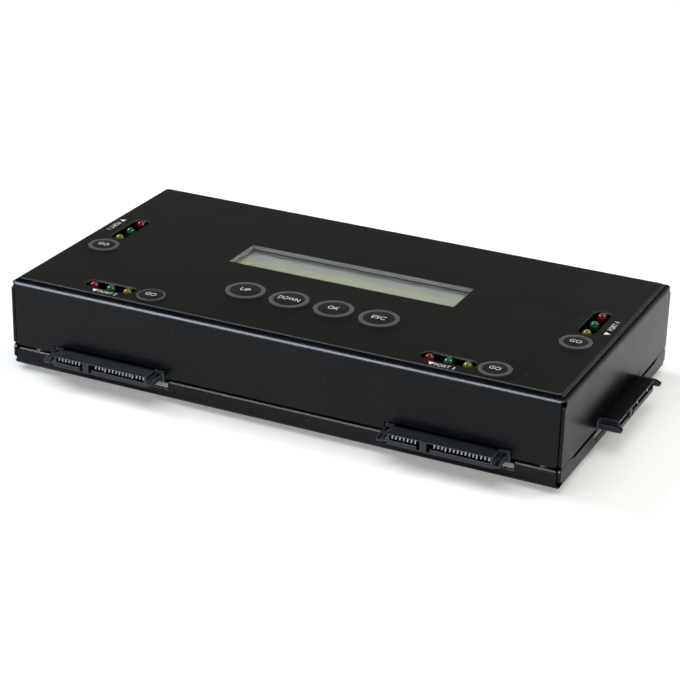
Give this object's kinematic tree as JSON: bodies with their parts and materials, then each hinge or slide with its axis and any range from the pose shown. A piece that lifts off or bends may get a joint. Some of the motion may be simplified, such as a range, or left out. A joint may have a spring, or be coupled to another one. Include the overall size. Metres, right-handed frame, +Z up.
{
  "type": "hard drive eraser",
  "caption": "Flat bench-top drive eraser: folded black steel casing with edge sockets for bare drives, a character display, ringed push keys and status lamps.",
  "frame": {"origin": "on the table under the middle of the object's overall box, sockets included", "axes": "+Z up, -Y towards the front wall with two sockets, +X to the right"},
  "size_m": [0.209, 0.1096, 0.0331],
  "materials": {
    "casing_paint": "satin black powder paint on sheet steel",
    "printed_film": "fine satin texture, warm black",
    "window": "clear gloss",
    "key_black": "satin black with a pale legend",
    "key_grey": "satin grey",
    "switch_plastic": "matt",
    "red_lens": "tinted clear epoxy",
    "green_lens": "tinted clear epoxy",
    "yellow_lens": "tinted clear epoxy",
    "tinned_wire": "tinned",
    "display_frame": "zinc plated",
    "display_glass": "grey-green reflective display",
    "light_block": "milky",
    "circuit_board": "solder mask over glass-epoxy",
    "spacer_metal": "turned",
    "screw_steel": "zinc plated",
    "chip_plastic": "matt moulding",
    "header_plastic": "matt moulding",
    "cable": "grey flat cable",
    "socket_plastic": "satin black moulding",
    "contact_metal": "tinned spring bronze",
    "jack_plastic": "satin black moulding",
    "foot_rubber": "matt"
  },
  "bodies": {
    "casing": {"board_screws": "screw_steel", "board_standoffs": "spacer_metal", "bottom_tray": "casing_paint", "cable_headers": "header_plastic", "controller_chip": "chip_plastic", "cover_pillars": "spacer_metal", "cover_screws": "screw_steel", "display_board": "circuit_board", "display_frame": "display_frame", "display_glass": "display_glass", "display_light_block": "light_block", "display_window": "window", "feet": "foot_rubber", "flat_cable": "cable", "graphic_overlay": "printed_film", "green_lamps": "green_lens", "lamp_legs": "tinned_wire", "main_board": "circuit_board", "panel_board": "circuit_board", "panel_screws": "screw_steel", "panel_standoffs": "spacer_metal", "port_1_contacts": "contact_metal", "port_1_socket": "socket_plastic", "port_2_contacts": "contact_metal", "port_2_socket": "socket_plastic", "port_3_contacts": "contact_metal", "port_3_socket": "socket_plastic", "port_4_contacts": "contact_metal", "port_4_socket": "socket_plastic", "power_jack": "jack_plastic", "power_jack_pin": "contact_metal", "red_lamps": "red_lens", "switch_housings": "switch_plastic", "top_cover": "casing_paint", "yellow_lamps": "yellow_lens"},
    "up_key": {"up_key_cap": "key_black", "up_key_ring": "key_grey", "up_switch_plunger": "switch_plastic"},
    "down_key": {"down_key_cap": "key_black", "down_key_ring": "key_grey", "down_switch_plunger": "switch_plastic"},
    "ok_key": {"ok_key_cap": "key_black", "ok_key_ring": "key_grey", "ok_switch_plunger": "switch_plastic"},
    "esc_key": {"esc_key_cap": "key_black", "esc_key_ring": "key_grey", "esc_switch_plunger": "switch_plastic"},
    "go_1_key": {"go_1_key_cap": "key_black", "go_1_key_ring": "key_grey", "go_1_switch_plunger": "switch_plastic"},
    "go_2_key": {"go_2_key_cap": "key_black", "go_2_key_ring": "key_grey", "go_2_switch_plunger": "switch_plastic"},
    "go_3_key": {"go_3_key_cap": "key_black", "go_3_key_ring": "key_grey", "go_3_switch_plunger": "switch_plastic"},
    "go_4_key": {"go_4_key_cap": "key_black", "go_4_key_ring": "key_grey", "go_4_switch_plunger": "switch_plastic"}
  },
  "joints": [
    {"name": "up_key_press", "type": "slide", "parent": "casing", "child": "up_key", "axis": [0, 0, -1], "range_m": [0, 0.0003], "stiffness_N_per_m": 1500, "springref_m": -0.0006},
    {"name": "down_key_press", "type": "slide", "parent": "casing", "child": "down_key", "axis": [0, 0, -1], "range_m": [0, 0.0003], "stiffness_N_per_m": 1500, "springref_m": -0.0006},
    {"name": "ok_key_press", "type": "slide", "parent": "casing", "child": "ok_key", "axis": [0, 0, -1], "range_m": [0, 0.0003], "stiffness_N_per_m": 1500, "springref_m": -0.0006},
    {"name": "esc_key_press", "type": "slide", "parent": "casing", "child": "esc_key", "axis": [0, 0, -1], "range_m": [0, 0.0003], "stiffness_N_per_m": 1500, "springref_m": -0.0006},
    {"name": "go_1_key_press", "type": "slide", "parent": "casing", "child": "go_1_key", "axis": [0, 0, -1], "range_m": [0, 0.0003], "stiffness_N_per_m": 1500, "springref_m": -0.0006},
    {"name": "go_2_key_press", "type": "slide", "parent": "casing", "child": "go_2_key", "axis": [0, 0, -1], "range_m": [0, 0.0003], "stiffness_N_per_m": 1500, "springref_m": -0.0006},
    {"name": "go_3_key_press", "type": "slide", "parent": "casing", "child": "go_3_key", "axis": [0, 0, -1], "range_m": [0, 0.0003], "stiffness_N_per_m": 1500, "springref_m": -0.0006},
    {"name": "go_4_key_press", "type": "slide", "parent": "casing", "child": "go_4_key", "axis": [0, 0, -1], "range_m": [0, 0.0003], "stiffness_N_per_m": 1500, "springref_m": -0.0006}
  ]
}
